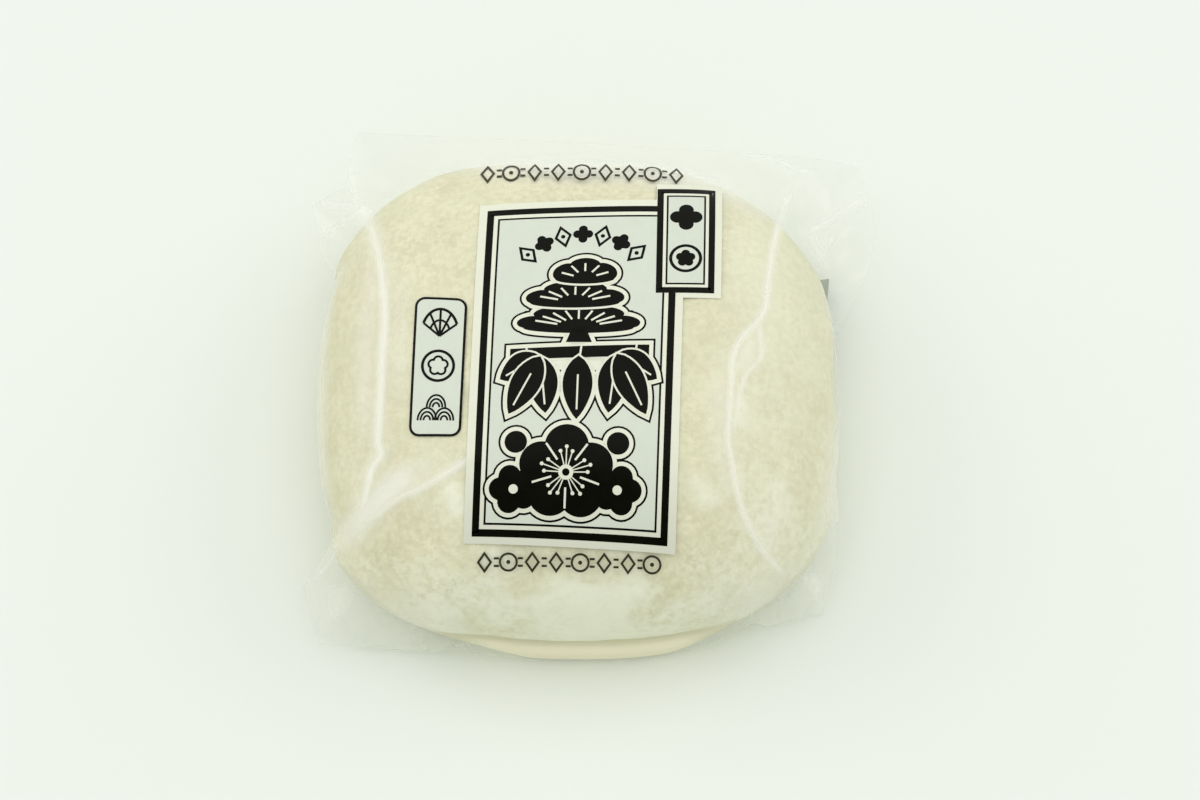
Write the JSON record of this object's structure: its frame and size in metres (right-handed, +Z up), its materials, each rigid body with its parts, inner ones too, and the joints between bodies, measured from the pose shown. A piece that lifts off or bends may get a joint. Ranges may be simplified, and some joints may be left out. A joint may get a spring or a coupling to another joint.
{
  "type": "wrapped daifuku",
  "caption": "Soft round-cornered rice cake sweet sealed in clear printed film that is folded into ears at its corners, lying flat.",
  "frame": {"origin": "centre of the flat underside that it rests on", "axes": "+X to the right across the print, +Y towards the back edge at the top of the print, +Z up"},
  "size_m": [0.0786, 0.0748, 0.0265],
  "materials": {
    "rice_cake": "soft pale rice dough dusted with starch, seen through clear film",
    "clear_film": "thin clear glossy film with soft folds",
    "white_print": "white ink under clear film",
    "black_print": "black ink under clear film"
  },
  "bodies": {
    "root": {"wrapped_daifuku": "rice_cake"}
  },
  "joints": []
}
